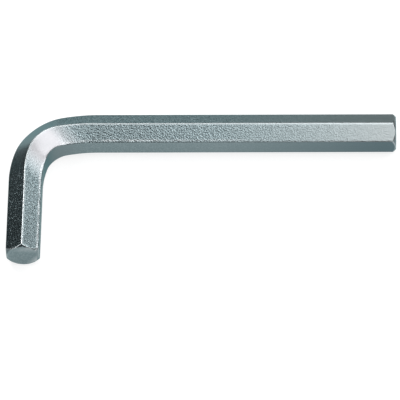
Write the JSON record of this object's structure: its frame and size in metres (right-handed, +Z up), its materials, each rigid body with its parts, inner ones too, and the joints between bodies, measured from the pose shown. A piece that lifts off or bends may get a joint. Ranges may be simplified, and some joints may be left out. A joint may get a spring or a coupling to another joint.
{
  "type": "hex key",
  "caption": "L-shaped key bent from hexagon bar, with a long arm, a short arm and chamfered flat ends, for turning hexagon socket screws.",
  "frame": {"origin": "on the ground, at the middle of the key's bounding box, the key lying flat on its side", "axes": "+X along the long arm towards its tip, -Y along the short arm towards its tip, +Z up, square to the plane of the bend"},
  "size_m": [0.14, 0.058, 0.0137],
  "materials": {
    "steel": "matt plated steel with a fine tumbled grain and brighter rubbed edges"
  },
  "bodies": {
    "root": {"hex_key": "steel"}
  },
  "joints": []
}
